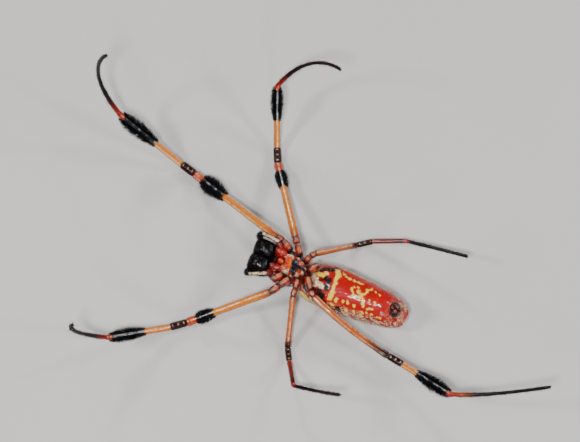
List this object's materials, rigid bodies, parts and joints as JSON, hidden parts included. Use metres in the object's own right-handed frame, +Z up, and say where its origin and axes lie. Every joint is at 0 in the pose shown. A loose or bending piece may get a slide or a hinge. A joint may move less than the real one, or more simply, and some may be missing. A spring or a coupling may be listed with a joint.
{
  "type": "golden silk orb weaver spider model",
  "caption": "Life-size female golden silk orb weaver lying on its back with its long tufted legs spread and their feet raised.",
  "frame": {"origin": "middle of the flat on the abdomen's back, where the spider lies on the floor", "axes": "+Z up, out of the belly; -Y towards the head; +X towards the animal's right side"},
  "size_m": [0.0554, 0.0849, 0.0242],
  "materials": {
    "amber_cuticle": "glossy translucent amber cuticle with a paler rim",
    "tufted_cuticle": "amber at the base, then a dense tuft of black bristles",
    "dark_cuticle": "red at the base and black beyond, with short bristles",
    "gloss_black_cuticle": "polished black cuticle",
    "eye": "clear black lens",
    "abdomen_skin": "satin red skin with pale yellow marks",
    "pale_cuticle": "pale straw cuticle with dark joints",
    "red_cuticle": "glossy orange red cuticle",
    "russet_cuticle": "glossy red brown cuticle with dark joints"
  },
  "bodies": {
    "root": {"abdomen": "abdomen_skin", "carapace": "russet_cuticle", "chelicera_left": "gloss_black_cuticle", "chelicera_right": "gloss_black_cuticle", "endite_left": "red_cuticle", "endite_right": "red_cuticle", "eye_lateral_front_left": "eye", "eye_lateral_front_right": "eye", "eye_lateral_rear_left": "eye", "eye_lateral_rear_right": "eye", "eye_median_front_left": "eye", "eye_median_front_right": "eye", "eye_median_rear_left": "eye", "eye_median_rear_right": "eye", "fang_left": "gloss_black_cuticle", "fang_right": "gloss_black_cuticle", "labium": "pale_cuticle", "leg_left_1_coxa": "russet_cuticle", "leg_left_1_femur": "amber_cuticle", "leg_left_1_foot": "dark_cuticle", "leg_left_1_patella": "russet_cuticle", "leg_left_1_tibia": "tufted_cuticle", "leg_left_2_coxa": "russet_cuticle", "leg_left_2_femur": "amber_cuticle", "leg_left_2_foot": "dark_cuticle", "leg_left_2_patella": "russet_cuticle", "leg_left_2_tibia": "tufted_cuticle", "leg_left_3_coxa": "russet_cuticle", "leg_left_3_femur": "amber_cuticle", "leg_left_3_foot": "dark_cuticle", "leg_left_3_patella": "russet_cuticle", "leg_left_3_tibia": "tufted_cuticle", "leg_right_2_coxa": "russet_cuticle", "leg_right_2_femur": "amber_cuticle", "leg_right_2_foot": "dark_cuticle", "leg_right_2_patella": "russet_cuticle", "leg_right_2_tibia": "tufted_cuticle", "leg_right_3_coxa": "russet_cuticle", "leg_right_3_femur": "amber_cuticle", "leg_right_3_foot": "dark_cuticle", "leg_right_3_patella": "russet_cuticle", "leg_right_3_tibia": "tufted_cuticle", "leg_right_4_coxa": "russet_cuticle", "leg_right_4_femur": "amber_cuticle", "leg_right_4_foot": "dark_cuticle", "leg_right_4_patella": "russet_cuticle", "leg_right_4_tibia": "tufted_cuticle", "palp_left_arm": "pale_cuticle", "palp_left_tarsus": "gloss_black_cuticle", "palp_right_arm": "pale_cuticle", "palp_right_tarsus": "gloss_black_cuticle", "pedicel": "russet_cuticle", "spinnerets": "russet_cuticle", "sternum": "russet_cuticle", "stump_left_4_coxa": "russet_cuticle", "stump_right_1_coxa": "russet_cuticle"}
  },
  "joints": []
}
